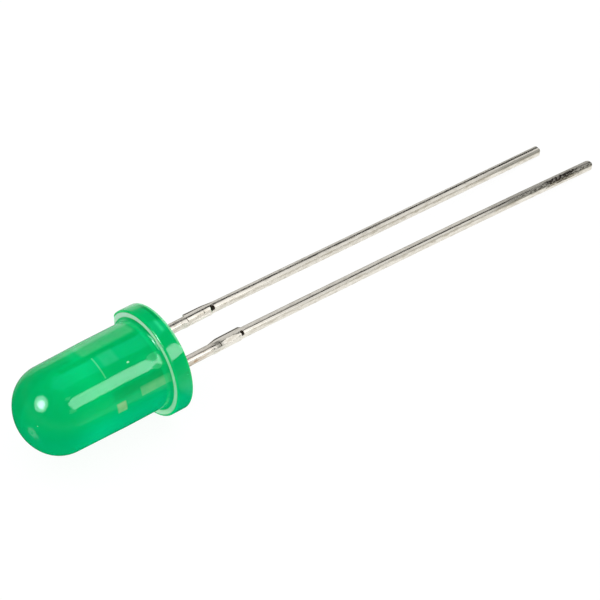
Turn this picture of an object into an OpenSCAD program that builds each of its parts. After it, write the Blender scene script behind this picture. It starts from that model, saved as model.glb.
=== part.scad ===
// Through-hole LED with a round, diffused 5 mm body, complete with its lead frame,
// chip and bond wire. It lies as it comes to rest on a flat surface, on the rear
// rim of its flange and on both lead tips.
//
// The pieces are drawn in the frame of an upright LED: the origin is at the centre
// of the base, +Z runs to the dome, +X to the anode and +Y ends up on top when the
// part lies down. lying() then lays each of them down in the same way.

/* [Body] */
// Diameter of the barrel where a panel clip grips it
barrel_d = 4.95; // [4:0.05:6]
// Height of the body, from its base to the nose of the dome
body_h = 8.6; // [7:0.1:10.5]
// Length of the parallel grip at the root of the barrel, fillet included
grip_h = 2.5; // [1:0.1:3]
// Taper of the barrel between the grip and the dome, in degrees a side
draft = 1; // [0.2:0.1:1.5]
// Distance from the axis to the centre of the dome's shoulder arc
crown_in = 0.38; // [0.2:0.02:0.8]
// Rise of the nose above the top of the shoulder arc
crown_rise = 0.14; // [0.05:0.01:0.3]

/* [Flange] */
// How far the flange stands out beyond the barrel
flange_lip = 0.55; // [0.4:0.02:0.8]
// Thickness of the flange
flange_t = 0.95; // [0.7:0.05:1.3]
// Gap between the barrel and the flat that marks the cathode
flat_gap = 0.03; // [0.01:0.01:0.15]
// Hollow fillet between the barrel and the flange
root_r = 0.14; // [0.05:0.01:0.2]
// Rounding of the flange's front edge
front_r = 0.1; // [0.04:0.01:0.15]
// Rounding of the flange's rear edge
rear_r = 0.05; // [0.02:0.01:0.1]

/* [Leads] */
// Spacing of the two leads
pitch = 2.54; // [2.1:0.01:3.1]
// Width and thickness of a lead
lead_w = 0.48; // [0.38:0.01:0.6]
// Rounding of a lead's long edges
edge_r = 0.09; // [0.04:0.01:0.12]
// Length of the anode lead below the base
anode_l = 29.5; // [20:0.1:36]
// Length of the cathode lead below the base
cathode_l = 27.8; // [20:0.1:34]
// Lean of both leads below the remnants, in degrees
lean = 1.5; // [0.2:0.05:2.5]
// Direction of the lean, turned from the underside towards the anode, in degrees
lean_dir = 18; // [0:1:60]
// Sag of the anode lead's outer stretch, in degrees
anode_sag = 1.2; // [0.2:0.1:3]
// Distance from the base to where the anode lead begins to sag
sag_z = 14; // [8:0.5:17]

/* [Tie-bar remnants] */
// Distance from the base to the remnants of the sheared tie bar
bar_z = 2.5; // [1.5:0.1:4]
// Length of a remnant along its lead
bar_h = 1.9; // [1:0.1:2.4]
// How far a remnant stands out on the side away from the anode
bar_out = 0.13; // [0.05:0.01:0.25]
// How far a remnant stands out on its anode side, where the shear ran closer
bar_near = 0.05; // [0.02:0.01:0.1]
// Slope of the sheared side of the cathode lead's remnant, in degrees
shear = 25; // [10:1:35]
// Depth of the punch's dent in the upper edge of the anode lead's remnant
dent = 0.12; // [0.06:0.01:0.14]
// Radius of that dent
dent_r = 1.6; // [1:0.1:2]
// Radius of the punch's nick at the outer end of a remnant
nick_r = 0.11; // [0.06:0.01:0.15]

/* [Lead frame inside the body] */
// Distance from the nose of the dome down to the rim of the reflector cup
focus = 4.82; // [4.2:0.02:5.2]
// Radius of the reflector cup's mouth
cup_r = 0.62; // [0.45:0.01:0.75]
// Depth of the reflector cup
cup_depth = 0.36; // [0.2:0.02:0.45]
// Thickness of the cup's wall at its rim, and of its floor
cup_wall = 0.11; // [0.06:0.01:0.15]
// Gap between the cup and the head of the anode post
frame_gap = 0.17; // [0.15:0.01:0.35]
// Height of the anvil below the cup's seat, where it joins the cathode lead
anvil_h = 1.1; // [0.6:0.05:1.6]
// Height of the anode post's head above the cup's rim
head_rise = 0.2; // [0.1:0.02:0.3]
// Height of the anode post's head
head_h = 1.1; // [0.8:0.05:1.4]
// Inward jog of the anode post between its root and its head
jog = 0.18; // [0.05:0.01:0.3]

/* [Chip and wire] */
// Side of the square chip
die_w = 0.3; // [0.2:0.01:0.36]
// Thickness of the chip
die_t = 0.25; // [0.1:0.01:0.3]
// Thickness of the conductive adhesive under the chip
glue_t = 0.03; // [0.01:0.01:0.05]
// Diameter of the bond wire
wire_d = 0.04; // [0.02:0.005:0.06]
// Height of the bond wire's loop above the chip
loop_h = 0.34; // [0.2:0.02:0.5]

/* [Hidden] */
$fn = 96;
// Depth by which a cut or a joint runs past the face that it meets
past = 0.02;

// Turned profile: radii, heights and the centres of its two arcs
barrel_r = barrel_d / 2;
flange_r = barrel_r + flange_lip;
flat_x = barrel_r + flat_gap;
grip_top = flange_t + grip_h;
// The tapered wall runs into the shoulder arc, and that arc into the nose arc, with no crease
shoulder_z = (body_h - crown_rise - (barrel_r - crown_in) * cos(draft) - grip_top * sin(draft))
  / (1 - sin(draft));
shoulder_r = body_h - crown_rise - shoulder_z;
nose_drop = (crown_in * crown_in - crown_rise * crown_rise) / (2 * crown_rise);
nose_z = shoulder_z - nose_drop;
nose_r = body_h - nose_z;
nose_half = atan2(crown_in, nose_drop);

// Leads: both bend gently just below the remnants, where handling bends them
lead_x = pitch / 2;
bend_r = 12;
bend_z = bar_z + bar_h + 0.3;
bend_l = bend_r * lean * PI / 180;
sag_bends = 3;
sag_angle = anode_sag / sag_bends;
sag_step = (anode_l - sag_z) / sag_bends;
sag_bend_l = bend_r * sag_angle * PI / 180;
cut_r = 0.06;
worn_r = 0.2;

// Lead frame: heights inside the body, counted down from the cup's rim
post_z = 0.45;
jog_z = post_z + 0.2;
corner = 0.2;
anvil_edge = 0.14;
cup_z = body_h - focus;
floor_z = cup_z - cup_depth;
seat_z = floor_z - cup_wall;
glue_r = die_w * sqrt(2) / 2 + 0.02;
floor_r = glue_r + 0.04;
under_r = floor_r + cup_wall;
cup_out = cup_r + cup_wall;
head_x = cup_out + frame_gap;
glue_z = floor_z + glue_t;
die_top = glue_z + die_t;
head_z = cup_z + head_rise;
head_foot = head_z - head_h;

// Bond wire: one arc whose ends sink into the bonds on the chip and on the post
bond_r = 1.4 * wire_d;
bond_t = 1.2 * wire_d;
wire_x = (head_x + lead_x + lead_w / 2) / 2;
wire_rise = head_z - die_top;
wire_span = norm([wire_x, wire_rise]);
wire_slope = atan2(wire_rise, wire_x);
wire_r = (wire_span * wire_span / 4 + loop_h * loop_h) / (2 * loop_h);
wire_half = asin(wire_span / 2 / wire_r);

// Edges of the remnants, from the body outwards: shares of a remnant's length and of how
// far it stands out. The shear left the cathode's with a step and a long taper.
near_edge = [[0.03, 0], [0.08, 1], [0.2, 0.6], [0.86, 0.6], [0.92, 1], [1, 0]];
cathode_edge = [[0.13, 0], [0.16, 1], [0.74, 0.8], [1.15, 0]];
anode_edge = [[-0.05, 0], [0.24, 1], [1.03, 1], [1.1, 0]];
dent_z = bar_z + 0.6 * bar_h;

// Resting pose. down = [nx, -1, nz] is the direction of the table, and it is found by
// repeating pose() from a first guess until flange and tips lie equally deep along it.
lean_y = sin(lean) * cos(lean_dir);
lean_x = sin(lean) * sin(lean_dir);
function leg_end(side, length, sag) =
  let (below = length - bend_z - bend_l / 2)
  [side * lead_x + below * lean_x, -below * lean_y - sag, -length];
sag_reach = sag_step * (sag_bends + 1) / 2 - sag_bend_l / 2;
anode_tip = leg_end(1, anode_l, sag_reach * sin(anode_sag));
cathode_tip = leg_end(-1, cathode_l, 0);
function flange_depth(n) =
  (flange_r - rear_r) * norm([n.x, n.y]) + n.z * rear_r + rear_r * norm(n);
function section_depth(n) =
  (lead_w / 2 - edge_r) * (abs(n.x) + abs(n.y)) + edge_r * norm([n.x, n.y]);
function pose(n, steps) = steps == 0 ? n :
  let (
    reach = flange_depth(n) - section_depth(n),
    a = reach + anode_tip.y,
    c = reach + cathode_tip.y,
    det = anode_tip.x * cathode_tip.z - cathode_tip.x * anode_tip.z,
    nx = (a * cathode_tip.z - c * anode_tip.z) / det,
    nz = (anode_tip.x * c - cathode_tip.x * a) / det
  ) pose([nx, -1, nz], steps - 1);
down = pose([0, -1, 0], 6);
roll = -atan(down.x);
tilt = atan(-down.z / norm([down.x, down.y]));
base_h = flange_depth(down) / norm(down);

// The origin is on the table, below the middle of the lying part
nose_x = -nose_z * cos(tilt) - nose_r;
tip_x = anode_l * cos(tilt) + lead_w / 2 * sin(tilt);
flat_half = acos(flat_x / flange_r);
side_y = flange_r * cos(max(0, flat_half - abs(roll)));
centre = [(nose_x + tip_x) / 2, (side_y - flange_r) / 2, -base_h];

module lying() {
  translate(-centre) rotate([0, tilt, 0]) rotate([90, 0, -90]) rotate([0, 0, roll]) children();
}

// Slice of a circle from angle a to angle b, less than a right angle wide
module slice(r, a, b) {
  intersection() {
    circle(r);
    polygon([[0, 0], 3 * r * [cos(a), sin(a)], 3 * r * [cos(b), sin(b)]]);
  }
}

// Profile of the flange, with its two rounded edges
module flange_profile() {
  inner = flange_r - front_r - rear_r;
  square([inner, flange_t]);
  translate([inner, rear_r]) square([rear_r + front_r, flange_t - rear_r - front_r]);
  translate([inner, flange_t - front_r]) square([rear_r, front_r]);
  translate([flange_r - front_r, flange_t - front_r]) slice(front_r, 0, 90);
  translate([inner, 0]) square([front_r, rear_r]);
  translate([flange_r - rear_r, rear_r]) slice(rear_r, -90, 0);
}

// Profile of barrel and dome: a core through the flange, a parallel grip, a tapered wall,
// a shoulder arc and a nose arc
module barrel_profile() {
  wall_end = [crown_in, shoulder_z] + shoulder_r * [cos(draft), sin(draft)];
  polygon([
    [0, 0], [barrel_r, 0], [barrel_r, grip_top], wall_end,
    [crown_in, shoulder_z], [0, nose_z + nose_r / 2]
  ]);
  translate([crown_in, shoulder_z]) slice(shoulder_r, draft, 110 - nose_half);
  translate([0, nose_z]) slice(nose_r, 90 - nose_half, 90);
}

// Hollow fillet at the root of the barrel
module root_profile() {
  translate([barrel_r - past, flange_t - past]) difference() {
    square(root_r + past);
    translate([root_r + past, root_r + past]) circle(root_r);
  }
}

module body_form() {
  difference() {
    union() {
      rotate_extrude() flange_profile();
      rotate_extrude() barrel_profile();
      rotate_extrude() root_profile();
    }
    translate([-flat_x - flange_r, -flange_r, -past])
      cube([flange_r, 2 * flange_r, flange_t + root_r + 2 * past]);
  }
}

// Cross-section of a lead, with rounded edges
module lead_section() {
  flat = lead_w - 2 * edge_r;
  square([flat, lead_w], center = true);
  square([lead_w, flat], center = true);
  for (q = [0 : 90 : 270])
    rotate(q) translate([flat / 2, flat / 2]) slice(edge_r, 0, 90);
}

// Straight stretch of lead running down; what comes after it is placed at its lower end
module straight(length) {
  translate([0, 0, -length]) {
    linear_extrude(length) lead_section();
    children();
  }
}

// Stretch of lead that bends by angle about radius, towards -Y turned by dir
module bent(radius, angle, dir) {
  rotate([0, 0, dir]) {
    translate([0, -radius, 0]) rotate([-90, 0, 90])
      rotate_extrude(angle = angle) translate([radius, 0]) rotate(-dir) lead_section();
    translate([0, -radius * (1 - cos(angle)), -radius * sin(angle)])
      rotate([-angle, 0, 0]) rotate([0, 0, -dir]) children();
  }
}

// Points of one edge of a remnant, in the plane of the leads
function edge_points(edge, side, out) =
  [for (p = edge) [side * (lead_w / 2 + p.y * out), -bar_z - p.x * bar_h]];

// What is left of the tie bar, sheared off on both sides of its lead
module remnant(far_edge) {
  far = edge_points(far_edge, -1, bar_out);
  near = edge_points(near_edge, 1, bar_near);
  translate([0, (lead_w - edge_r) / 2, 0]) rotate([90, 0, 0])
    linear_extrude(lead_w - edge_r)
      polygon(concat(near, [for (i = [len(far) - 1 : -1 : 0]) far[i]]));
}

// Nick that the punch left across the upper edge, at the outer end of a remnant
module punch_nick() {
  translate([lead_w / 12, lead_w / 2 + nick_r / 2, -bar_z - bar_h])
    rotate([0, 90, 0]) cylinder(h = lead_w, r = nick_r);
}

// Waste where the shear sloped the upper half of the cathode lead's remnant
module sheared_side() {
  translate([lead_w / 2, 0, -bar_z - 0.95 * bar_h]) rotate([0, 0, shear])
    cube([lead_w, lead_w, 0.8 * bar_h]);
}

// Ball that dents the upper edge of the anode lead's remnant
module denting_ball() {
  away = lead_w / 2 + (dent_r - dent) / sqrt(2);
  translate([away, away, -dent_z]) sphere(dent_r);
}

// Part of a lead that is outside the body, down to the end of its bend
module leg(far_edge) {
  difference() {
    union() {
      translate([0, 0, post_z]) straight(post_z + bend_z)
        bent(bend_r, lean, lean_dir) children();
      remnant(far_edge);
    }
    punch_nick();
    if (far_edge == cathode_edge) sheared_side();
    if (far_edge == anode_edge) denting_ball();
  }
}

// Flat piece of lead frame, stamped to an outline in the plane of the leads
module stamped(outline) {
  translate([0, lead_w / 2, 0]) rotate([90, 0, 0]) linear_extrude(lead_w) polygon(outline);
}

// Waste outside the rounded corner of a lead's tip, in the plane of the leads
module corner_waste(side, length, radius) {
  translate([side * (lead_w / 2 - radius), 0, radius - length])
    rotate([90, 0, 0]) linear_extrude(2 * lead_w, center = true)
      mirror([side < 0 ? 1 : 0, 0]) difference() {
        translate([0, -radius - past]) square(radius + past);
        circle(radius);
      }
}

// Last straight stretch of a lead, its tip rounded on the inner and on the outer corner
module tipped(length, left_r, right_r) {
  difference() {
    straight(length);
    corner_waste(-1, length, left_r);
    corner_waste(1, length, right_r);
  }
}

// Bowl with an even wall, coined at the top of the anvil
module reflector_cup() {
  rotate_extrude() polygon([
    [0, seat_z], [under_r, seat_z], [cup_out, cup_z],
    [cup_r, cup_z], [floor_r, floor_z], [0, floor_z]
  ]);
}

// Rest of the anode lead, sagging by the same small angle at each of its bends
module sagging(bends) {
  bent(bend_r, sag_angle, 0) {
    if (bends > 1) straight(sag_step - sag_bend_l) sagging(bends - 1);
    if (bends == 1) tipped(sag_step - sag_bend_l, worn_r, cut_r);
  }
}

// The anvil carries the cup, and its top is flush with the cup's rim
module cathode_form() {
  outer = -lead_x - lead_w / 2;
  inner = -lead_x + lead_w / 2;
  translate([-lead_x, 0, 0]) leg(cathode_edge)
    tipped(cathode_l - bend_z - bend_l, cut_r, cut_r);
  stamped([
    [outer, post_z], [inner, post_z], [inner, max(post_z, seat_z - anvil_h)],
    [under_r, seat_z - anvil_edge], [under_r, seat_z], [-floor_r, floor_z - cup_wall / 2],
    [-cup_r - cup_wall / 2, cup_z], [outer + corner, cup_z], [outer, cup_z - corner]
  ]);
  reflector_cup();
}

// The post jogs inwards above its root, and out again below its head
module anode_form() {
  outer = lead_x + lead_w / 2;
  inner = lead_x - lead_w / 2;
  translate([lead_x, 0, 0]) leg(anode_edge)
    straight(sag_z - bend_z - bend_l) sagging(sag_bends);
  stamped([
    [inner, post_z], [outer, post_z], [outer - jog, jog_z], [outer - jog, head_foot - head_h / 2],
    [outer, head_foot + head_h / 2], [outer, head_z], [head_x, head_z], [head_x, head_foot],
    [inner - jog, head_foot - corner], [inner - jog, jog_z]
  ]);
}

module glue_form() {
  translate([0, 0, floor_z]) cylinder(h = glue_t, r = glue_r);
}

module die_form() {
  translate([-die_w / 2, -die_w / 2, glue_z]) cube([die_w, die_w, die_t]);
}

module wire_form() {
  for (q = [[0, die_top], [wire_x, head_z]])
    translate([q.x, 0, q.y]) cylinder(h = bond_t, r = bond_r);
  translate([0, 0, die_top + bond_t / 2]) rotate([0, -wire_slope, 0])
    translate([wire_span / 2, 0, loop_h - wire_r])
      rotate([90, wire_half - 90, 0]) rotate_extrude(angle = 2 * wire_half)
        translate([wire_r, 0]) circle(wire_d / 2);
}

// Diffused epoxy, cast round everything that it holds
module lens_body() {
  color([0, 0.73, 0.4, 0.9]) lying() difference() {
    body_form();
    anode_form();
    cathode_form();
    glue_form();
    die_form();
    wire_form();
  }
}

module anode_lead() {
  color("silver") lying() anode_form();
}

module cathode_lead() {
  color("lightgray") lying() cathode_form();
}

module led_die() {
  color("darkolivegreen") lying() die_form();
}

module die_attach() {
  color("gainsboro") lying() glue_form();
}

module bond_wire() {
  color("gold") lying() wire_form();
}

lens_body();
anode_lead();
cathode_lead();
led_die();
die_attach();
bond_wire();
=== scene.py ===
# %% [markdown]
# # A through-hole LED, lying on a table
# The part is a round 5 mm indicator LED: a diffused green epoxy body cast round a small
# stamped lead frame, and two long tin-plated steel leads. The CAD model comes first, as a
# fixed frame in metres, and everything below is built in that same frame.

# %% The frame
import math

import bmesh
import bpy
from mathutils import Matrix, Vector


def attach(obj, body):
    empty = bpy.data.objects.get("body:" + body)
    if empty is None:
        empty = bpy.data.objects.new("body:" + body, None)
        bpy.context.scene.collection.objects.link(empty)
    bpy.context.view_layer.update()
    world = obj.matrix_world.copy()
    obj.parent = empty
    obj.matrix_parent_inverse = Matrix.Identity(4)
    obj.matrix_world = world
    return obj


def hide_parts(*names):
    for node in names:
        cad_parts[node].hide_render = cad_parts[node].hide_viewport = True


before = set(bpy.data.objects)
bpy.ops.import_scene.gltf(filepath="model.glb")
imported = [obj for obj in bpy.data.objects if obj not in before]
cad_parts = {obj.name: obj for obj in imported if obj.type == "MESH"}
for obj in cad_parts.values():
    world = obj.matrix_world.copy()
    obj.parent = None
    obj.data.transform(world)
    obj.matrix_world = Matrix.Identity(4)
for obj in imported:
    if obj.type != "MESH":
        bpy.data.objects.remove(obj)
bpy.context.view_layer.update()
MM = 0.001

# %% [markdown]
# An LED is easiest to draw upright: origin at the centre of its base, +Z along the axis
# to the dome, +X to the anode lead, all in millimetres. It rests on the rear rim of its
# flange and on its two lead tips, which tilts the axis and rolls the body a little. One
# matrix lays every upright piece down, and its inverse stands a CAD node up again.

# %% Laying a piece down
# Two angles in degrees, and where the centre of the base comes to lie, in millimetres
TILT = 4.18645
ROLL = 8.54438
BASE = Vector((-10.4274, 0.147927, 3.01341))


def turned(degrees, axis):
    return Matrix.Rotation(math.radians(degrees), 4, axis)


LYING = (
    Matrix.Translation(BASE * MM)
    @ turned(TILT, "Y") @ turned(-90, "Z") @ turned(90, "X") @ turned(ROLL, "Z")
    @ Matrix.Scale(MM, 4)
)

# %% [markdown]
# The camera looks down on the part from beyond its dome with a long lens, so the leads
# run away to the upper right with little perspective.

# %% Camera


def new_object(name, data):
    """An object at the origin, holding that camera, mesh or light."""
    thing = bpy.data.objects.new(name, data)
    bpy.context.scene.collection.objects.link(thing)
    return thing


# The point it is aimed at and the distance are in millimetres, the rest is in degrees
AIM = Vector((-1.584, -0.612, 2.0))
ELEVATION = 50.40
HEADING = 41.61
DISTANCE = 141.57
CAMERA_ROLL = 4.27

lens = bpy.data.cameras.new("camera")
lens.lens = 159.1
lens.sensor_width = 36
lens.clip_start = 0.001
lens.clip_end = 10
camera = new_object("camera", lens)
camera.matrix_world = (
    Matrix.Translation(AIM * MM)
    @ turned(-HEADING, "Z") @ turned(90 - ELEVATION, "X")
    @ Matrix.Translation((0, 0, DISTANCE * MM)) @ turned(CAMERA_ROLL, "Z")
)
bpy.context.scene.camera = camera
print("camera stands at", camera.matrix_world.translation / MM)

# %% [markdown]
# Every material is a graph of nodes. A few helpers keep the graphs short. One turns a
# colour as a designer writes it, a hex number, into the linear values that light adds
# up in. Another adds a node with its settings and links in one line.

# %% Colours and nodes


def linear(hex_colour):
    """An sRGB hex colour as linear RGBA."""
    parts = [int(hex_colour[i:i + 2], 16) / 255 for i in (1, 3, 5)]
    parts = [p / 12.92 if p <= 0.04045 else ((p + 0.055) / 1.055) ** 2.4 for p in parts]
    return parts + [1.0]


def add(tree, kind, settings=None, **inputs):
    """Adds a node, its inputs given by name or as in_NUMBER, each a value or a socket."""
    node = tree.nodes.new(kind)
    for name, value in (settings or {}).items():
        setattr(node, name, value)
    for name, value in inputs.items():
        key = int(name[3:]) if name.startswith("in_") else name.replace("_", " ")
        if isinstance(value, bpy.types.NodeSocket):
            tree.links.new(value, node.inputs[key])
        else:
            node.inputs[key].default_value = value
    return node


def new_material(name):
    """An empty node material and its output node."""
    material = bpy.data.materials.new(name)
    material.use_nodes = True
    material.node_tree.nodes.clear()
    output = material.node_tree.nodes.new("ShaderNodeOutputMaterial")
    return material, material.node_tree, output


def show(tree, output, shader):
    """Makes this shader the one that the material's surface shows."""
    tree.links.new(shader.outputs[0], output.inputs["Surface"])


print("a grey of #808080 reflects", round(linear("#808080")[0], 3), "of the light")

# %% [markdown]
# The steps that all the materials share are blending two colours, arithmetic, noise and
# smooth ramps. Each is one node or two, so a graph reads like a recipe: where something
# lies is a value from 0 to 1, and a colour is blended in there.

# %% Steps that the materials share


def blend(tree, share, low, high):
    """The colour between low and high, as far along as share says."""
    mix = add(tree, "ShaderNodeMix", {"data_type": "RGBA"},
              in_0=share, in_6=low, in_7=high)
    return mix.outputs[2]


def result(tree, operation, *values):
    """The result of a Math node's operation on these values."""
    inputs = {f"in_{i}": value for i, value in enumerate(values)}
    return add(tree, "ShaderNodeMath", {"operation": operation}, **inputs).outputs[0]


def noise(tree, place, fineness, detail, **inputs):
    """Noise round 0.5, with fineness blobs to a unit of place; detail adds finer ones."""
    return add(tree, "ShaderNodeTexNoise", Vector=place, Scale=fineness, Detail=detail,
               **inputs).outputs[0]


def stretched(tree, place, finenesses, detail, **inputs):
    """Noise with another fineness along each of the three axes."""
    mapping = add(tree, "ShaderNodeMapping", Vector=place, Scale=finenesses)
    return noise(tree, mapping.outputs[0], 1.0, detail, **inputs)


def ramped(tree, value, start, end, low=0.0, high=1.0):
    """value taken smoothly from low at start to high at end."""
    node = add(tree, "ShaderNodeMapRange", {"interpolation_type": "SMOOTHSTEP"},
               Value=value, From_Min=start, From_Max=end, To_Min=low, To_Max=high)
    return node.outputs[0]


def between(tree, value, start, end, soft):
    """1 where value lies between start and end, with soft edges that wide."""
    return result(tree, "MULTIPLY",
                  ramped(tree, value, start - soft / 2, start + soft / 2),
                  ramped(tree, value, end + soft / 2, end - soft / 2))


# %% [markdown]
# ## Tinted, diffused epoxy
# The body is epoxy resin with a green dye and a fine white diffusing powder, cast in a
# polished cup. The powder makes it glow evenly, and it still lets the lead frame show
# where metal comes near the wall. Refraction alone could draw those glimpses in a clear
# body, but powder scatters their light too much for that, so they are painted into the
# colour as soft patches. A patch is placed by its height above the base and by its angle
# round the axis, so both are worked out first, from Object coordinates.

# %% Places in the body


def upright_millimetres(tree):
    """Object coordinates turned back into the upright LED's own millimetres."""
    place, turn, _ = LYING.decompose()
    coordinates = tree.nodes.new("ShaderNodeTexCoord")
    mapping = add(tree, "ShaderNodeMapping", {"vector_type": "TEXTURE"},
                  Vector=coordinates.outputs["Object"], Location=place,
                  Rotation=turn.to_euler(), Scale=(MM, MM, MM))
    return mapping.outputs[0]


def places_in_body(tree):
    """Where a point of the body is. Angles are in degrees, from the anode's side."""
    point = upright_millimetres(tree)
    split = add(tree, "ShaderNodeSeparateXYZ", Vector=point)
    flat = add(tree, "ShaderNodeVectorMath", {"operation": "MULTIPLY"},
               in_0=point, in_1=(1, 1, 0))
    reach = add(tree, "ShaderNodeVectorMath", {"operation": "LENGTH"},
                in_0=flat.outputs[0])
    angle = result(tree, "DEGREES",
                   result(tree, "ARCTAN2", split.outputs[1], split.outputs[0]))
    return {
        "point": point,
        "side": split.outputs[1],
        "height": split.outputs[2],
        "radius": reach.outputs["Value"],
        "angle": angle,
        "mirrored": result(tree, "ABSOLUTE", angle),
    }


print("the LED lies turned by", [round(math.degrees(a), 2) for a in LYING.to_euler()])

# %% [markdown]
# One row is one glimpse of the frame or one patch of painted light or shade, and the rows
# are painted over each other in this order, broken up by a fine grain. A pale glimpse is
# painted light that the metal reflects through the wall. The frame lies in one plane, so
# what shows broadly on one side of the body shows on the other too: a patch that reaches
# far round is painted on both.

# %% Glimpses of the lead frame, with painted light and shade
# Blobs of the grain to a millimetre, so it is 0.45 mm coarse
GRAIN = 2.2
# A patch that ends beyond this angle is painted on both sides
FAR_ROUND = 40
# Degrees round the barrel's wall to a millimetre of it
DEGREES_TO_MM = 22
# Bottom and top, first and last angle, softness in millimetres, colour, strength
GLIMPSES_AND_PAINTED_LIGHT = (
    # The anode post's side, and its end under the bond wire, painted pale as the light
    # they reflect
    (0.97, 2.76, 13, 25, 0.10, "#6ECB84", 0.9),
    (3.75, 4.28, 6, 18, 0.12, "#98CA8C", 0.9),
    # Shade between post and anvil, and along the anvil's top
    (1.0, 4.35, 23, 35, 0.30, "#00AC5A", 0.7),
    (1.5, 6.2, 83, 91, 0.25, "#00B25E", 0.8),
    # The anvil's broad face, the painted light it throws on the wall above, and painted
    # shade on the dome's upper side
    (3.15, 4.0, 66, 84, 0.25, "#30C47E", 0.55),
    (1.4, 4.6, 93, 128, 0.35, "#58C684", 0.6),
    (5.2, 9.0, 92, 150, 0.60, "#00A65A", 0.6),
    # Painted light in the root of the barrel, a painted highlight on the flange's side,
    # and painted shade in a line near its rear edge
    (0.93, 1.28, 0, 180, 0.15, "#00DC80", 0.7),
    (0.38, 0.51, 68, 83, 0.22, "#34E896", 0.8),
    (0.17, 0.30, 82, 116, 0.12, "#009850", 0.8),
    # Rim of the reflector cup
    (4.27, 4.34, 53, 84, 0.06, "#7CDCA4", 0.45),
)


def with_glimpses_and_painted_light(tree, colour, place):
    """The colour with the lead frame's glimpses, and the painted light and shade, painted
    over it.
    """
    grain = noise(tree, place["point"], GRAIN, 3.0)
    for bottom, top, first, last, soft, paint, strength in GLIMPSES_AND_PAINTED_LIGHT:
        angle = place["mirrored" if last > FAR_ROUND else "angle"]
        share = result(tree, "MULTIPLY",
                       between(tree, place["height"], bottom, top, soft),
                       between(tree, angle, first, last, DEGREES_TO_MM * soft))
        share = result(tree, "MULTIPLY", share,
                       ramped(tree, grain, 0.25, 0.6, 0.65 * strength, strength))
        colour = blend(tree, share, colour, linear(paint))
    return colour


# The rows counted here take in the painted light and shade
print(len(GLIMPSES_AND_PAINTED_LIGHT), "glimpses of the lead frame")

# %% [markdown]
# The green under the glimpses varies too. The powder settled in faint clouds, the dome is
# painted a deeper green as painted shade, the lower side a cooler green as a painted
# reflection of the table, and the flange's faces are painted pale as painted light.

# %% Colour of the epoxy
# Blobs to a millimetre: clouds of powder 2 mm wide, and motes of dust of 0.2 mm
CLOUDS, MOTES = 0.5, 5.0


def epoxy_colour(tree, place):
    height, mirrored = place["height"], place["mirrored"]
    cloud = noise(tree, place["point"], CLOUDS, 2.0)
    colour = blend(tree, ramped(tree, cloud, 0.35, 0.65),
                   linear("#00C26E"), linear("#00BE6A"))
    # The side with the frame's edge and the broad face below it are painted a cooler
    # green, a painted reflection of the table below, and the dome is painted a deeper
    # green as painted shade
    below = ramped(tree, place["side"], 1.0, -0.4)
    colour = blend(tree, result(tree, "MULTIPLY", below, 0.8), colour, linear("#00C082"))
    deep = blend(tree, below, linear("#00B466"), linear("#00AA68"))
    colour = blend(tree, ramped(tree, height, 5.2, 7.6), colour, deep)
    colour = with_glimpses_and_painted_light(tree, colour, place)
    # Painted light: the flange's front face is painted pale, palest away from the anode's
    # side, and away from that side a painted highlight runs along its rear edge
    front = result(tree, "MULTIPLY", ramped(tree, height, 0.93, 0.945),
                   between(tree, place["radius"], 2.65, 2.90, 0.07))
    lit = ramped(tree, mirrored, 25, 85, 0.6, 1.0)
    colour = blend(tree, result(tree, "MULTIPLY", front, lit), colour, linear("#D8FFE6"))
    rear = result(tree, "MULTIPLY", ramped(tree, height, 0.15, 0.10, 0.0, 0.7),
                  ramped(tree, place["radius"], 2.90, 2.97))
    rear = result(tree, "MULTIPLY", rear, ramped(tree, mirrored, 42, 58))
    colour = blend(tree, rear, colour, linear("#98E8B8"))
    # Dust on the skin
    motes = noise(tree, place["point"], MOTES, 0.0)
    return blend(tree, ramped(tree, motes, 0.88, 0.92), colour, linear("#A8E8C4"))


print("clouds of powder are", 1 / CLOUDS, "mm wide, and motes", 1 / MOTES, "mm")

# %% [markdown]
# The mould's polish gives a smooth, glossy skin, with faint waves where the resin shrank.
# A Principled shader carries it all: the green base with subsurface light for the powder,
# and a share of transmission for the clear depth near the base.

# %% Skin of the epoxy
# Blobs to a millimetre: waves 0.8 mm long, pits of 0.14 mm, and scuffs 0.2 mm wide and
# 0.9 mm long. The depth of the relief is in millimetres
WAVES, PITS, SCUFFS = 1.3, 7.0, (5.0, 5.0, 1.1)
WAVE_DEPTH = 0.008


def epoxy_relief(tree, place):
    waves = noise(tree, place["point"], WAVES, 2.0)
    pits = noise(tree, place["point"], PITS, 1.0)
    relief = result(tree, "ADD", waves, result(tree, "MULTIPLY", pits, 0.12))
    # The flange is stiff and stayed flat, the barrel shrank into faint waves
    relief = result(tree, "MULTIPLY", relief,
                    ramped(tree, place["height"], 0.9, 1.3, 0.35, 1.0))
    bump = add(tree, "ShaderNodeBump", Strength=0.5, Distance=WAVE_DEPTH * MM,
               Height=relief)
    return bump.outputs[0]


def epoxy_roughness(tree, place):
    # Rubbed in fine streaks on the side it lay on, near the flange and below the dome
    scuffs = stretched(tree, place["point"], SCUFFS, 3.0)
    ends = result(tree, "MAXIMUM", between(tree, place["height"], 1.1, 1.75, 0.7),
                  between(tree, place["height"], 6.45, 7.0, 0.5))
    ends = result(tree, "MULTIPLY", ends, between(tree, place["angle"], 34, 56, 6))
    scuffs = result(tree, "ADD", scuffs, result(tree, "MULTIPLY", ends, 0.32))
    rubbed = ramped(tree, scuffs, 0.74, 0.80)
    return result(tree, "ADD", 0.05, result(tree, "MULTIPLY", rubbed, 0.5))


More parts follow.
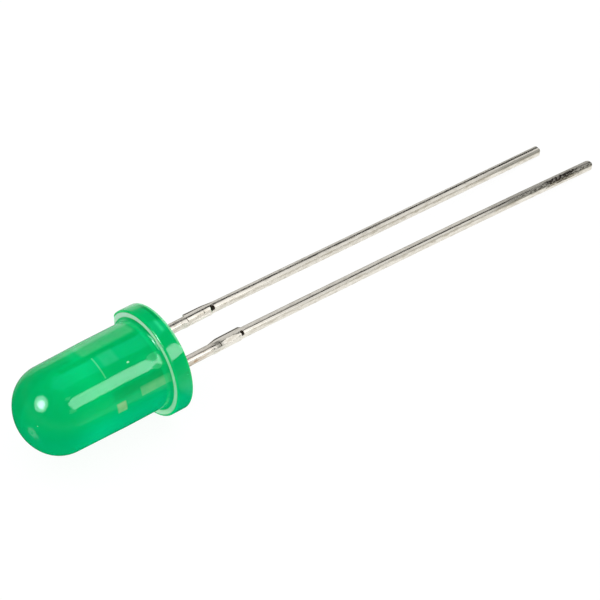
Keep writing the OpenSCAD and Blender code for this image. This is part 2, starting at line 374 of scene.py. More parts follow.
def make_epoxy():
    material, tree, output = new_material("tinted_diffused_epoxy")
    place = places_in_body(tree)
    clear = ramped(tree, place["height"], 3.2, 5.4, 0.22, 0.06)
    skin = add(tree, "ShaderNodeBsdfPrincipled", Base_Color=epoxy_colour(tree, place),
               Roughness=epoxy_roughness(tree, place), IOR=1.53,
               Specular_IOR_Level=0.27, Specular_Tint=(0.45, 1.0, 0.85, 1.0),
               Transmission_Weight=clear, Subsurface_Weight=0.6,
               Subsurface_Radius=(0.3, 1.0, 0.6), Subsurface_Scale=0.4 * MM,
               Normal=epoxy_relief(tree, place))
    show(tree, output, skin)
    return material


epoxy = make_epoxy()
print("made", epoxy.name)

# %% [markdown]
# ## Tin-plated steel
# The leads are stamped from steel strip and dipped in tin: a soft, slightly warm grey
# mirror. It is drawn out in fine streaks along the lead, mottled where the tin ran, and
# stained where the lead was sheared, handled or heated. The pieces carry two attributes:
# "section" is the place on the lead in millimetres (across, up, along), so that streaks
# follow the bends, and the other says where stain, soot and dullness lie, with painted
# shade among the soot and the dullness.

# %% Colour of the tin
# Blobs to a millimetre, across, up and along: drawing streaks 0.06 mm wide and 1.1 mm
# long, runs of tin of 0.17 by 0.5 mm, and rubbed grains of 0.07 by 0.17 mm. The real
# streaks and grains are finer still, and would not show
STREAKS, RUNS, GRAINS = (16.0, 16.0, 0.9), (6.0, 6.0, 2.0), (14.0, 14.0, 6.0)


def tin_colour(tree, streaks, mottle, stain, dull_and_shade, soot_and_shade):
    """Tin with its runs, stain, dullness and soot, one over the other, the last two with
    painted shade in them.
    """
    colour = blend(tree, ramped(tree, streaks, 0.35, 0.65),
                   linear("#E5E0D5"), linear("#F1ECE2"))
    colour = blend(tree, ramped(tree, mottle, 0.50, 0.66, 0.0, 0.5),
                   colour, linear("#B9B1A2"))
    # Dullness and soot also carry painted shade
    for where, paint in ((stain, "#B98455"), (dull_and_shade, "#85837A"), (soot_and_shade, "#2E2822")):
        colour = blend(tree, where, colour, linear(paint))
    return colour


print("drawing streaks are", round(1 / STREAKS[0], 2), "mm wide")

# %% [markdown]
# The upper edges were rolled in the die and are smooth. Below them the sheared sides are
# torn steel, rougher and patchy, and along the shoulder of the tie bar they are a clean
# cut instead, matt all over.

# %% Tin plate
TIN_DEPTH = 0.002


def sheared_sides(tree, across, up, along):
    """Where the sides are torn, and where the tie bar's shoulder is a clean cut."""
    sides = result(tree, "MULTIPLY",
                   ramped(tree, result(tree, "ABSOLUTE", across), 0.21, 0.235),
                   ramped(tree, up, 0.19, 0.14))
    cut = result(tree, "MULTIPLY", sides, between(tree, along, 2.45, 4.45, 0.1))
    return result(tree, "SUBTRACT", sides, cut), cut


def make_tin_plate():
    material, tree, output = new_material("tin_plated_steel")
    section, wear_and_shade = (
        add(tree, "ShaderNodeAttribute", {"attribute_name": name}).outputs["Vector"]
        for name in ("section", "wear_and_shade")
    )
    across, up, along = add(tree, "ShaderNodeSeparateXYZ", Vector=section).outputs
    stained, sooty_and_shaded, dulled_and_shaded = add(tree, "ShaderNodeSeparateXYZ", Vector=wear_and_shade).outputs
    streaks = stretched(tree, section, STREAKS, 4.0)
    mottle = stretched(tree, section, RUNS, 5.0, Roughness=0.65)
    grains = stretched(tree, section, GRAINS, 3.0)
    stain = result(tree, "MULTIPLY", stained, ramped(tree, mottle, 0.35, 0.6))
    dull_and_shade = result(tree, "MULTIPLY", dulled_and_shaded, ramped(tree, streaks, 0.3, 0.6, 0.8, 1.0))
    soot_and_shade = ramped(tree, result(tree, "ADD", sooty_and_shaded, grains), 1.05, 1.25)
    colour = tin_colour(tree, streaks, mottle, stain, dull_and_shade, soot_and_shade)
    torn, cut = sheared_sides(tree, across, up, along)
    patchy = result(tree, "MULTIPLY", torn, ramped(tree, mottle, 0.38, 0.58))
    patchy = result(tree, "MULTIPLY", patchy, ramped(tree, up, -0.03, 0.09, 0.15, 0.6))
    colour = blend(tree, patchy, colour, linear("#AFA793"))
    rough = ramped(tree, mottle, 0.35, 0.7, 0.07, 0.15)
    for where, extra in ((torn, 0.12), (cut, 0.32), (ramped(tree, dull_and_shade, 0.4, 0.7), 0.2)):
        rough = result(tree, "ADD", rough, result(tree, "MULTIPLY", where, extra))
    depth = result(tree, "ADD", result(tree, "MULTIPLY", torn, 1.5), 0.5)
    relief = result(tree, "ADD", streaks, result(tree, "MULTIPLY", mottle, depth))
    bump = add(tree, "ShaderNodeBump", Strength=0.5, Distance=TIN_DEPTH * MM,
               Height=relief)
    skin = add(tree, "ShaderNodeBsdfPrincipled", Base_Color=colour, Metallic=1.0,
               Roughness=rough, Normal=bump.outputs[0])
    show(tree, output, skin)
    return material


tin_plate = make_tin_plate()
print("made", tin_plate.name)

# %% [markdown]
# ## The body
# The real body is a solid of revolution out of a polished mould: flange, a short
# parallel grip, a wall with one degree of draft and a dome of two arcs. Half of its
# outline, drawn with extruded vertices and spun arcs, is spun once round the axis. The
# flat that marks the cathode is one cut and a fill.

# %% Outline of the body
# Millimetres: radii and heights of flange and barrel, radii of the edges between them,
# centres and radii of the dome's two arcs. Then the draft in degrees, how far from the
# axis the flat is, and how finely all of it is divided
FLANGE_R, FLANGE_T = 3.025, 0.95
BARREL_R, GRIP_TOP = 2.475, 3.45
REAR_R, FRONT_R, ROOT_R = 0.05, 0.1, 0.14
SHOULDER_X, SHOULDER_Z, SHOULDER_R = 0.38, 6.4171, 2.0429
NOSE_Z, NOSE_R = 5.97139, 2.62861
DRAFT = 1.0
FLAT_X = 2.505
BASE_RINGS, TURN_STEPS = 56, 180


def line_to(bm, vert, x, z):
    """Extrudes the outline's last vertex in a straight line to (x, z)."""
    new = bmesh.ops.extrude_vert_indiv(bm, verts=[vert])["verts"][0]
    new.co = (x, 0, z)
    return new


def arc_round(bm, vert, x, z, degrees, steps):
    """Spins the outline's last vertex about (x, z), anticlockwise."""
    spun = bmesh.ops.spin(bm, geom=[vert], cent=(x, 0, z), axis=(0, 1, 0),
                          angle=-math.radians(degrees), steps=steps)
    return spun["geom_last"][0]


def body_outline(bm):
    nose_half = math.degrees(math.atan2(SHOULDER_X, SHOULDER_Z - NOSE_Z))
    vert = bm.verts.new((0, 0, 0))
    vert = line_to(bm, vert, FLANGE_R - REAR_R, 0)
    bmesh.ops.subdivide_edges(bm, edges=bm.edges[:], cuts=BASE_RINGS)
    bm.verts.ensure_lookup_table()
    vert = max(bm.verts, key=lambda v: v.co.x)
    vert = arc_round(bm, vert, FLANGE_R - REAR_R, REAR_R, 90, 6)
    vert = line_to(bm, vert, FLANGE_R, FLANGE_T - FRONT_R)
    vert = arc_round(bm, vert, FLANGE_R - FRONT_R, FLANGE_T - FRONT_R, 90, 8)
    vert = line_to(bm, vert, BARREL_R + ROOT_R, FLANGE_T)
    vert = arc_round(bm, vert, BARREL_R + ROOT_R, FLANGE_T + ROOT_R, -90, 8)
    vert = line_to(bm, vert, BARREL_R, GRIP_TOP)
    vert = line_to(bm, vert, SHOULDER_X + SHOULDER_R * math.cos(math.radians(DRAFT)),
                   SHOULDER_Z + SHOULDER_R * math.sin(math.radians(DRAFT)))
    vert = arc_round(bm, vert, SHOULDER_X, SHOULDER_Z, 90 - nose_half - DRAFT, 28)
    vert = arc_round(bm, vert, 0, NOSE_Z, nose_half, 16)
    print("outline:", len(bm.verts), "vertices, ends at", [round(c, 4) for c in vert.co])


print("the dome's top is", round(NOSE_Z + NOSE_R, 3), "mm above the base")

# %% [markdown]
# Where the leads leave the open side of the mould, the resin creeps a little way along
# each of them before it sets, and the face between them shrinks into a shallow dish.
# The base was given many rings for this, and its vertices are simply moved.

# %% Dish and creep of the base
# The leads' distance from the axis, width and edge radius, the dish's depth, and how
# far the resin creeps down a lead and out from it
LEAD_X, LEAD_W, EDGE_R = 1.27, 0.48, 0.09
DISH, CREEP, CREEP_OUT = 0.04, 0.09, 0.09


def off_lead(x, y):
    """Distance from the nearer lead's square section."""
    dx = max(abs(abs(x) - LEAD_X) - LEAD_W / 2, 0)
    dy = max(abs(y) - LEAD_W / 2, 0)
    return math.hypot(dx, dy)


def cast_base(bm):
    for vert in bm.verts:
        r = math.hypot(vert.co.x, vert.co.y)
        if abs(vert.co.z) < 1e-6 and r < FLANGE_R - 2 * REAR_R:
            dish = DISH * (1 - (r / FLANGE_R) ** 2)
            creep = CREEP * math.exp(-off_lead(vert.co.x, vert.co.y) / CREEP_OUT)
            vert.co.z += dish - creep


print("the dish is", DISH, "mm deep, and the resin creeps", CREEP, "mm down a lead")

# %% [markdown]
# Every piece is finished in the same way. Its normals point outwards, it is shaded
# smooth apart from the edges that are really sharp, and it is laid down in its mesh, so
# that its object stays at the origin. Weighted normals keep the flat faces flat beside
# the small rounded edges.

# %% Finishing a mesh


def finish_mesh(bm, name, material, sharp=40):
    """Lays the upright mesh down and makes a smooth-shaded object at the origin of it."""
    bmesh.ops.recalc_face_normals(bm, faces=bm.faces)
    for face in bm.faces:
        face.smooth = True
    for edge in bm.edges:
        if len(edge.link_faces) == 2:
            edge.smooth = edge.calc_face_angle(0) < math.radians(sharp)
    bm.transform(LYING)
    open_edges = sum(1 for edge in bm.edges if len(edge.link_faces) != 2)
    mesh = bpy.data.meshes.new(name)
    bm.to_mesh(mesh)
    bm.free()
    mesh.materials.append(material)
    piece = new_object(name, mesh)
    weighted = piece.modifiers.new("flat_faces_stay_flat", "WEIGHTED_NORMAL")
    weighted.keep_sharp = True
    print(name, len(mesh.polygons), "faces,", open_edges, "open edges")
    return piece


# %% [markdown]
# Now the body itself: the outline goes once round the axis, the double vertices along
# the axis and the seam are merged, the base is shaped, and the flat is cut off.

# %% Spinning the body


def make_body():
    bm = bmesh.new()
    body_outline(bm)
    bmesh.ops.spin(bm, geom=bm.verts[:] + bm.edges[:], cent=(0, 0, 0), axis=(0, 0, 1),
                   angle=math.tau, steps=TURN_STEPS, use_merge=True)
    bmesh.ops.remove_doubles(bm, verts=bm.verts, dist=1e-5)
    cast_base(bm)
    cut = bmesh.ops.bisect_plane(bm, geom=bm.verts[:] + bm.edges[:] + bm.faces[:],
                                 plane_co=(-FLAT_X, 0, 0), plane_no=(-1, 0, 0),
                                 clear_outer=True)
    rim = [g for g in cut["geom_cut"] if isinstance(g, bmesh.types.BMEdge)]
    bmesh.ops.holes_fill(bm, edges=rim)
    return finish_mesh(bm, "body_casting", epoxy)


body = make_body()
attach(body, "root")
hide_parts("lens_body")

# %% [markdown]
# ## The leads
# Each lead is one stamping: inside the body it widens into the anvil with its
# reflector cup, or into the post that the bond wire reaches. Those buried ends are
# taken from the CAD node, whose loose triangles are merged first. Below the base a
# square with rounded corners is extruded ring by ring along the lead, and each new
# ring is moved to where the real lead is at that distance. The two halves are bridged
# into one solid.

# %% Path of a lead
ANODE, CATHODE = 1, -1
LENGTH = {ANODE: 29.5, CATHODE: 27.8}
# The shoulder that the sheared tie bar left, where it starts and how long it is
BAR_Z, BAR_H = 2.5, 1.9
# Beyond it both leads lean by LEAN degrees, and from SAG_Z on the anode sags three times
BEND_R, BEND_Z = 12.0, BAR_Z + BAR_H + 0.3
LEAN, LEAN_DIR = 1.5, 18.0
SAG, SAG_Z = 0.4, 14.0


def bends_of(side):
    """The bends of a lead: where each starts, its angle and its direction."""
    bends = [(BEND_Z, LEAN, LEAN_DIR)]
    if side == ANODE:
        bends += [(SAG_Z + (LENGTH[side] - SAG_Z) / 3 * i, SAG, 0.0) for i in range(3)]
    return bends


def path_at(side, along):
    """Place and turn of a lead's section, at that distance below the base."""
    turn = Matrix.Identity(3)
    place = Vector((side * LEAD_X, 0, 0))
    done = 0.0
    for start, angle, direction in bends_of(side):
        if along <= start:
            break
        place += turn @ Vector((0, 0, done - start))
        arc = min(math.radians(angle), (along - start) / BEND_R)
        across = Matrix.Rotation(math.radians(direction), 3, "Z")
        hinge = place + turn @ across @ Vector((0, -BEND_R, 0))
        lean = (turn @ across @ Matrix.Rotation(-arc, 3, "X")
                @ across.inverted() @ turn.inverted())
        place = hinge + lean @ (place - hinge)
        turn = lean @ turn
        done = start + arc * BEND_R
    return place + turn @ Vector((0, 0, done - along)), turn


for side, owner in ((ANODE, "anode's"), (CATHODE, "cathode's")):
    print(owner, "tip is at", path_at(side, LENGTH[side])[0])

# %% [markdown]
# Rolled and dipped strip is never quite flat: each face of a lead is crowned by about a
# hundredth of a millimetre, a little off its middle, so the mirrored room draws crisp
# lines along it. Shearing the tie bar left a low shoulder on both sides of each lead.
# The shear sloped the cathode's upper side, the punch dented the anode's upper edge, and
# it nicked both at the outer end of the shoulder. The shoulder's outline is given by a
# few heights along it, with straight lines between.

# %% Shoulder, shear, dent and nick
# How high the faces are crowned, and how far off the middle the crest lies
CROWN = {ANODE: 0.0098, CATHODE: 0.0125}
CREST = {ANODE: 0.05, CATHODE: -0.07}
# Height of the shoulder on the far and the near side, and the nick at its end
BAR_OUT, BAR_NEAR = 0.13, 0.05
NICK_R, NICK_FROM = 0.11, 0.04
# The shear's slope and the dent's depth and radius, placed by share of the shoulder
SHEAR, SHEAR_FROM, SHEAR_TO = math.radians(25), 0.15, 0.95
DENT, DENT_R, DENT_AT = 0.12, 1.6, 0.6
# Outlines of the shoulder: share of its length, share of its height
NEAR_EDGE = [(-0.12, 0), (0.08, 1), (0.2, 0.6), (0.86, 0.6), (0.92, 1), (1, 0)]
FAR_EDGE = {
    ANODE: [(-0.05, 0), (0.24, 1), (1.03, 1), (1.1, 0)],
    CATHODE: [(0.13, 0), (0.16, 1), (0.74, 0.8), (1.15, 0)],
}
HALF = LEAD_W / 2


def share_of(along):
    """How far along the shoulder a distance below the base is, from 0 to 1."""
    return (along - BAR_Z) / BAR_H


def height_at(edge, share):
    """Height of an edge of the shoulder, at that share of its length."""
    if share <= edge[0][0] or share >= edge[-1][0]:
        return 0.0
    for (a, low), (b, high) in zip(edge, edge[1:]):
        if share <= b:
            return low + (high - low) * (share - a) / (b - a)


print("the anode's far shoulder is", BAR_OUT * height_at(FAR_EDGE[ANODE], 0.5), "mm high")

# %% [markdown]
# Cutting all of this out of a finished lead would leave ragged edges. Instead one
# function says where a point of the plain section goes, at each distance along the
# lead, so the same rings of vertices run through every mark.

# %% Marks of the stamping tool


def marked(side, x, y, along):
    """Where a point of the plain section is after stamping and shearing."""
    share = share_of(along)
    crown = CROWN[side] / HALF
    x, y = (x * (1 - 0.5 * crown * (y / HALF) ** 2),
            y * (1 - crown * ((x - CREST[side]) / HALF) ** 2))
    if x < EDGE_R - HALF + 0.001:
        x -= BAR_OUT * height_at(FAR_EDGE[side], share)
    if x > HALF - EDGE_R - 0.001:
        x += BAR_NEAR * height_at(NEAR_EDGE, share)
    point = Vector((x, y, -along))
    if side == CATHODE and SHEAR_FROM < share < SHEAR_TO:
        out = Vector((math.cos(SHEAR), math.sin(SHEAR), 0))
        over = (point - Vector((HALF, 0, 0))).dot(out)
        if over > 0 and y > 0:
            point -= out * over
    if side == ANODE:
        reach = HALF + (DENT_R - DENT) / math.sqrt(2)
        ball = Vector((reach, reach, -BAR_Z - DENT_AT * BAR_H))
        if (point - ball).length < DENT_R:
            point = ball + (point - ball).normalized() * DENT_R
    gap = abs(along - BAR_Z - BAR_H)
    if x > NICK_FROM and gap < NICK_R:
        floor = HALF + NICK_R / 2 - math.sqrt(NICK_R ** 2 - gap ** 2)
        point.y = min(point.y, floor)
    return point


print("near the cathode's upper edge:", marked(CATHODE, 0.2, HALF, BAR_Z - 1))
print("the same where it was sheared:", marked(CATHODE, 0.2, HALF, BAR_Z + BAR_H / 2))

# %% [markdown]
# The tips were cropped: the cathode's is nearly square with small rounded corners, and
# the anode's far corner is worn round. The section narrows there, on each side apart.
# Rings lie close together only where a lead has such detail: along the shoulder and
# round the tip.

# %% Cropped tips
# Radii of the far and the near corner
TIP_R = {ANODE: (0.2, 0.06), CATHODE: (0.06, 0.06)}
TIP, TIP_RINGS, TIP_EDGE_R = 0.3, 10, 0.015
FINE_FROM, FINE_STEP, FINE_RINGS = 2.3, 0.028, 91
COARSE_STEP, LAST_STEP = 0.4, 0.45


def narrowed(x, radius, left):
    """x drawn in by the tip's round corner, with so much of the lead left to its end."""
    if left >= radius:
        return x
    reach = math.sqrt(max(radius ** 2 - (radius - left) ** 2, 0))
    return x * (HALF - radius + reach) / HALF


def ring_distances(length):
    """Distances along a lead where its rings lie."""
    marks = [0.0, 1.2, FINE_FROM]
    marks += [FINE_FROM + FINE_STEP * i for i in range(1, FINE_RINGS + 1)]
    while marks[-1] + LAST_STEP < length - TIP:
        marks.append(marks[-1] + COARSE_STEP)
    quarter = [math.radians(90 / TIP_RINGS * i) for i in range(TIP_RINGS + 1)]
    marks += [length - TIP + TIP * math.sin(angle) for angle in quarter]
    return marks


def first_ring(bm):
    """Edges of a square with rounded corners, at the base of the body."""
    grid = bmesh.ops.create_grid(bm, x_segments=1, y_segments=1, size=HALF)
    face = grid["verts"][0].link_faces[0]
    bmesh.ops.bevel(bm, geom=face.verts[:], offset=EDGE_R, offset_type="OFFSET",
                    segments=6, profile=0.5, affect="VERTICES", material=-1)
    long_edges = [edge for edge in bm.edges if edge.calc_length() > EDGE_R]
    bmesh.ops.subdivide_edges(bm, edges=long_edges, cuts=7)
    bmesh.ops.delete(bm, geom=bm.faces[:], context="FACES_ONLY")
    return bm.edges[:]


print("rings on the anode lead:", len(ring_distances(LENGTH[ANODE])))

# %% [markdown]
# The orange stain near the flange is rust-coloured flux or oxide on the steel under thin
# tin. The front of the upper face is painted darker beyond its first stretch, as painted
# shade that dims its highlight, and the upper face is dull towards the tip. Painted shade
# darkens the nick and the start of the anode's dent, and the anode's cut end is sooty.
# All three are painted as one attribute, and the material breaks them up.

# %% Stain, soot, dullness and painted shade


def rising(value, start, length):
    """0 up to start, then evenly up to 1 over that length."""
    return min(max((value - start) / length, 0), 1)


def spot(value, centre, half_length, power=2):
    """1 at the centre, fading out on both sides; a high power makes it flat-topped."""
    return math.exp(-((value - centre) / half_length) ** power)


def stain_at(side, x, y, along):
    stain = spot(along, 1.3, 0.7) * (0.9 if side == ANODE else 0.35)
    return stain * (1.0 if x > 0 else 0.3) * (1.0 if y < 0.12 else 0.25)


def soot_and_shade_at(side, x, y, along):
    soot_and_shade = 0.0
    # Rubbed into the anode's upper edge near the tip, and thinly along its front edge
    if side == ANODE and x > -0.05 and y > 0.0:
        soot_and_shade = 0.72 * spot(along, 27.2, 1.9, 4)
        if x > 0.14 and y > 0.12:
            soot_and_shade = max(soot_and_shade, 0.6 * rising(along, 21, 3))
    # Painted shade in the nick, and darker specks along the upper edge of the shoulder
    if x > 0 and y > -0.12:
        painted_nick_shade, half_length = (0.95, 0.12) if side == ANODE else (1.1, 0.14)
        painted_nick_shade *= 1 if y > 0.06 else 0.3
        soot_and_shade += painted_nick_shade * spot(along, BAR_Z + BAR_H, half_length, 4)
    if x > 0 and y > 0.12:
        for speck in (0.0, 0.25) if side == ANODE else (0.13, 0.71):
            soot_and_shade += 0.8 * spot(share_of(along), speck, 0.025)
    return min(soot_and_shade, 1.0)


def dull_and_shade_at(side, x, y, along):
    if y <= 0.1:
        return 0.0
    # Towards the tip, most near the front edge
    first, strength = (19.5, 1.0) if side == ANODE else (21.0, 0.9)
    strength *= 1 if x > 0.12 else 0.55 if side == ANODE else 0.3
    dull_and_shade = strength * rising(along, first, 4)
    # Painted shade over the front of the upper face beyond the first stretch, dimming its
    # highlight, and painted shade with a duller surface where the anode's dent starts
    if x > 0:
        first, strength = (4.5, 0.4) if side == ANODE else (6.0, 0.33)
        dull_and_shade = max(dull_and_shade, strength * rising(along, first, 4))
    if side == ANODE and x > -0.1:
        dull_and_shade += 0.9 * spot(share_of(along), 0.2, 0.13)
    return min(dull_and_shade, 1.0)


print("stain at the flange:", round(stain_at(ANODE, 0.1, 0.0, 1.3), 2),
      "and soot at the tip:", round(soot_and_shade_at(ANODE, 0.1, 0.1, 27.2), 2))

# %% [markdown]
# Each extruded ring keeps its plain place in the "section" attribute, moves to where
# stamping left it, and is then set down on the lead's path.

# %% One ring of a lead


def extruded_ring(bm, ring, side, along):
    """Extrudes the ring to that distance below the base, and returns the new one."""
    section, wear_and_shade = (bm.verts.layers.float_vector[name] for name in ("section", "wear_and_shade"))
    new = bmesh.ops.extrude_edge_only(bm, edges=ring)["geom"]
    place, turn = path_at(side, along)
    far_r, near_r = TIP_R[side]
    for vert in (g for g in new if isinstance(g, bmesh.types.BMVert)):
        x, y, _ = vert[section]
        moved = marked(side, x, y, along)
        moved.x = narrowed(moved.x, far_r if x < 0 else near_r, LENGTH[side] - along)
        moved.z += along
        vert[section] = (x, y, along)
        vert[wear_and_shade] = [at(side, x, y, along) for at in (stain_at, soot_and_shade_at, dull_and_shade_at)]
        vert.co = place + turn @ moved
    return [g for g in new if isinstance(g, bmesh.types.BMEdge)]


# %% [markdown]
# A drawn half and a buried half make one lead. The drawn half starts a little inside
# the body, and the buried half is cut off the merged CAD node just above that.

# %% The buried half
DRAWN_FROM, BURIED_FROM = 0.25, 0.36


def buried_half(node):
    """The CAD lead's part inside the body, stood upright, with its triangles merged."""
    bm = bmesh.new()
    bm.from_mesh(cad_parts[node].data)
    bm.transform(LYING.inverted())
    bmesh.ops.remove_doubles(bm, verts=bm.verts, dist=1e-4)
    bmesh.ops.bisect_plane(bm, geom=bm.verts[:] + bm.edges[:] + bm.faces[:],
                           plane_co=(0, 0, BURIED_FROM), plane_no=(0, 0, -1),
                           clear_outer=True)
    mesh = bpy.data.meshes.new("buried")
    bm.to_mesh(mesh)
    bm.free()
    return mesh


# %% [markdown]
# The tip is closed with one face and its edge rounded, the buried half is added, and a
# bridge joins the two open rims.

# %% Building a lead
LEAD_SHARP = 34


def make_lead(node, name, side):
    bm = bmesh.new()
    for attribute in ("section", "wear_and_shade"):
        bm.verts.layers.float_vector.new(attribute)
    section = bm.verts.layers.float_vector["section"]
    ring = first_ring(bm)
    for vert in bm.verts:
        vert[section] = (vert.co.x, vert.co.y, -DRAWN_FROM)
        vert.co = Vector((vert.co.x + side * LEAD_X, vert.co.y, DRAWN_FROM))
    for along in ring_distances(LENGTH[side]):
        ring = extruded_ring(bm, ring, side, along)
    end = bmesh.ops.contextual_create(bm, geom=ring)["faces"]
    bmesh.ops.bevel(bm, geom=end[0].edges[:], offset=TIP_EDGE_R, offset_type="OFFSET",
                    segments=2, profile=0.5, affect="EDGES", material=-1)
    drawn = set(bm.verts)
    mesh = buried_half(node)
    bm.from_mesh(mesh)
    bpy.data.meshes.remove(mesh)
    for vert in bm.verts:
        if vert not in drawn:
            vert[section] = (vert.co.x - side * LEAD_X, vert.co.y, -vert.co.z)
    rims = [edge for edge in bm.edges if len(edge.link_faces) == 1]
    bmesh.ops.bridge_loops(bm, edges=rims)
    return finish_mesh(bm, name, tin_plate, LEAD_SHARP)


leads = []
for node, name, side in (
    ("anode_lead", "anode_stamping", ANODE),
    ("cathode_lead", "cathode_stamping", CATHODE),
):
    lead = make_lead(node, name, side)
    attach(lead, "root")
    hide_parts(node)
    leads.append(lead)

# %% [markdown]
# ## Chip, adhesive and bond wire
# These three stay the CAD's own shapes: a sawn gallium phosphide chip, silver-filled
# adhesive under it, and a gold wire. Each gets its real material: saw marks on the chip,
# flakes in the adhesive and faint lines drawn along the wire.

# %% Small parts in the cup
SAW_MARK, FLAKE, DRAW_LINE = 0.02 * MM, 0.01 * MM, 0.03 * MM
# Real flakes are about a third of that, and would not show


def object_place(tree):
    return tree.nodes.new("ShaderNodeTexCoord").outputs["Object"]


def make_chip():
    material, tree, output = new_material("gallium_phosphide")
    sawn = noise(tree, object_place(tree), 1 / SAW_MARK, 1.0)
    colour = blend(tree, sawn, linear("#8C8A34"), linear("#B9B65A"))
    skin = add(tree, "ShaderNodeBsdfPrincipled", Base_Color=colour, Roughness=0.35,
               IOR=3.0)
    show(tree, output, skin)
    return material


def make_adhesive():
    material, tree, output = new_material("silver_filled_epoxy")
    flakes = add(tree, "ShaderNodeTexVoronoi", Vector=object_place(tree), Scale=1 / FLAKE)
    colour = blend(tree, flakes.outputs["Distance"], linear("#C9C8C4"), linear("#8E8C88"))
    skin = add(tree, "ShaderNodeBsdfPrincipled", Base_Color=colour, Metallic=0.7,
               Roughness=0.55)
    show(tree, output, skin)
    return material


def make_gold():
    material, tree, output = new_material("bonding_gold")
    drawn = noise(tree, object_place(tree), 1 / DRAW_LINE, 2.0)
    colour = blend(tree, drawn, linear("#F2C14E"), linear("#FFD98A"))
    skin = add(tree, "ShaderNodeBsdfPrincipled", Base_Color=colour, Metallic=1.0,
               Roughness=0.25)
    show(tree, output, skin)
    return material


for node, material in (("led_die", make_chip()), ("die_attach", make_adhesive()),
                       ("bond_wire", make_gold())):
    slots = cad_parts[node].data.materials
    slots.clear()
    slots.append(material)
    print(node, "is now", material.name)

# %% [markdown]
# ## Table and studio
# The part lies on a white translucent sweep, lit a little from below. The camera and
# transmitted rays see it as plain white, with a small share of real shading for the soft
# contact shadow, and the light from below fills the underside of the body. Mirrored in
# the part it is bright under the leads, half as bright behind the body, and elsewhere it
# lies in the body's green shade.

# %% Table


def mirrored_brightness(tree):
    """How bright the sweep looks in the part's reflections, by place on the table."""
    place = add(tree, "ShaderNodeSeparateXYZ", Vector=object_place(tree))
    behind_body = result(tree, "MULTIPLY",
                         ramped(tree, place.outputs[0], -21 * MM, -15 * MM),
                         ramped(tree, place.outputs[1], 5 * MM, 10 * MM, 0.0, 0.45))
    under_leads = ramped(tree, place.outputs[0], -9.5 * MM, -6.5 * MM)
    return result(tree, "MAXIMUM", behind_body, under_leads)


def make_sweep():
    material, tree, output = new_material("white_sweep")
    rays = tree.nodes.new("ShaderNodeLightPath").outputs
    seen, glossy = rays["Is Camera Ray"], rays["Is Glossy Ray"]
    through = rays["Is Transmission Ray"]
    bright = mirrored_brightness(tree)
    grain = add(tree, "ShaderNodeTexNoise", Scale=3.0)
    paper = blend(tree, grain.outputs[0], linear("#EDEDED"), linear("#F1F1F1"))
    shade = result(tree, "MULTIPLY", glossy, result(tree, "SUBTRACT", 1.0, bright))
    paper = blend(tree, shade, paper, linear("#0F6A4C"))
    satin = add(tree, "ShaderNodeBsdfPrincipled", Base_Color=paper, Roughness=0.15,
                Specular_IOR_Level=0.5, Specular_Tint=(0.5, 1.0, 1.0, 1.0))
    # The light from below is stronger than the white that is seen
    looks = result(tree, "MAXIMUM", seen, result(tree, "MAXIMUM", glossy, through))
    glow = add(tree, "ShaderNodeEmission", Color=linear("#FFFFFF"),
               Strength=ramped(tree, looks, 0.0, 1.0, 2.2, 1.03))
    # How much of it is glow, for each kind of ray
    share = result(tree, "MULTIPLY", 0.6, result(tree, "SUBTRACT", 1.0, glossy))
    half_bright = result(tree, "MULTIPLY", bright, 0.5)
    for ray, most in ((seen, 0.9), (through, 0.9), (glossy, half_bright)):
        share = result(tree, "MAXIMUM", share, result(tree, "MULTIPLY", ray, most))
    mix = add(tree, "ShaderNodeMixShader", in_0=share, in_1=satin.outputs[0],
              in_2=glow.outputs[0])
    show(tree, output, mix)
    return material


TABLE_HALF = 1.5
bm = bmesh.new()
bmesh.ops.create_grid(bm, x_segments=1, y_segments=1, size=TABLE_HALF)
mesh = bpy.data.meshes.new("table")
bm.to_mesh(mesh)
bm.free()
table = new_object("table", mesh)
mesh.materials.append(make_sweep())
print(table.name, "is", 2 * TABLE_HALF, "m across")

# %% [markdown]
# The room is dim and a little lighter near the horizon, least so at the back, as in a
# studio whose light all comes from softboxes. The camera sees it white, like the sweep,
# and so, nearly, do transmitted rays.

# %% Room
world = bpy.data.worlds.new("studio")
bpy.context.scene.world = world
world.use_nodes = True
tree = world.node_tree
tree.nodes.clear()
towards = tree.nodes.new("ShaderNodeTexCoord").outputs["Generated"]
towards = add(tree, "ShaderNodeSeparateXYZ", Vector=towards)
dim = result(tree, "MULTIPLY", ramped(tree, towards.outputs[2], 0.0, 0.5, 0.42, 0.07),
             ramped(tree, towards.outputs[1], 0.3, 0.7, 1.0, 0.4))
rays = tree.nodes.new("ShaderNodeLightPath").outputs
white = result(tree, "MAXIMUM", rays["Is Camera Ray"],
               result(tree, "MULTIPLY", rays["Is Transmission Ray"], 0.8))
room = add(tree, "ShaderNodeBackground", Color=linear("#FFFFFF"),
           Strength=result(tree, "MAXIMUM", dim, white))
show(tree, tree.nodes.new("ShaderNodeOutputWorld"), room)
print("made the", world.name)

# %% [markdown]
# A lamp's power says little about how bright it looks, so each lamp is given the
# brightness of its face, and its power is worked out from that and its area. A lamp may
# also be kept to a few pieces and to reflections, as studio lamps are flagged.

# %% A lamp


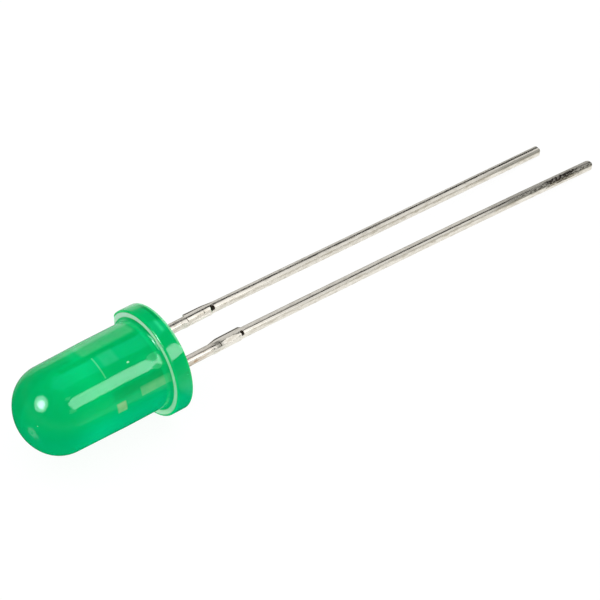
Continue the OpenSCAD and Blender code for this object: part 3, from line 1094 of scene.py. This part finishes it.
def lamp(name, towards, width, depth, brightness, colour=(1.0, 1.0, 1.0),
         shape="RECTANGLE", distance=0.5, shift=0.0):
    """A lamp whose face looks that bright, standing towards there and facing the part."""
    light = bpy.data.lights.new(name, "AREA")
    light.color = colour
    light.shape = shape
    light.size, light.size_y = width, depth
    area = width * depth * (math.pi / 4 if shape == "ELLIPSE" else 1)
    light.energy = brightness * math.pi * area
    box = new_object(name, light)
    towards = Vector(towards).normalized()
    box.matrix_world = (
        Matrix.Translation(towards * distance)
        @ towards.to_track_quat("Z", "Y").to_matrix().to_4x4()
        @ Matrix.Translation((shift, 0, 0))
    )
    print(name, round(light.energy, 3), "W")
    return box


def mirrored_only_by(pieces, *lamps):
    """Lamps that only these pieces see, and only as reflections."""
    seen_by = bpy.data.collections.new("seen_by_" + pieces[0].name)
    for piece in pieces:
        seen_by.objects.link(piece)
    for box in lamps:
        box.visible_diffuse = False
        box.light_linking.receiver_collection = seen_by


# %% [markdown]
# Two kinds of lamp. A large soft panel overhead gives the even light that all the
# colours are judged in, and is itself hidden from reflections. The others are there to
# be mirrored and light nothing, and each is linked to the pieces it was set up for. On
# the epoxy a square softbox in front draws the long streak on the barrel, and a weak
# panel overhead the soft band on top. A round softbox at the left draws the spot on the
# dome, with its bulb showing in it, and the satin table mirrors the bulb once more. On
# the leads two panels in one plane, with a dark gap between them, draw the grey, dark
# and white lines, a far one lights what the leads turn the other way, and a low one the
# sheared sides.

# %% Lamps
fill = lamp("fill_panel", (0, 0, 1), 1.4, 1.4, 1.6)
fill.visible_glossy = False
fill.visible_transmission = False
mirrored_only_by(
    [body],
    lamp("front_softbox", (0.35, -0.63, 0.68), 0.25, 0.20, 14.0, (1.0, 0.63, 0.70),
         shift=0.02),
    lamp("overhead_panel", (0.28, 0.28, 0.85), 0.30, 0.34, 1.4, (0.1, 1.0, 1.1)),
    lamp("left_softbox", (-0.8, 0.14, 0.58), 0.31, 0.36, 15.0, (1.0, 0.75, 0.8),
         "ELLIPSE"),
)
mirrored_only_by(
    [body, table],
    lamp("left_bulb", (-0.81, 0.11, 0.57), 0.15, 0.17, 40.0, (1.0, 0.6, 0.7),
         "ELLIPSE", 0.48),
)
mirrored_only_by(
    leads,
    lamp("top_panel", (0.53, -0.10, 0.84), 1.06, 0.9, 1.05, shift=-0.045),
    lamp("back_panel", (0.53, -0.10, 0.84), 0.40, 0.9, 0.7, shift=0.775),
    lamp("far_panel", (-0.85, 0.0, 0.5), 1.6, 1.0, 0.9, distance=0.6),
    lamp("low_panel", (0.42, -0.9, 0.17), 0.12, 0.5, 1.2),
)
bpy.context.scene.view_settings.view_transform = "Standard"
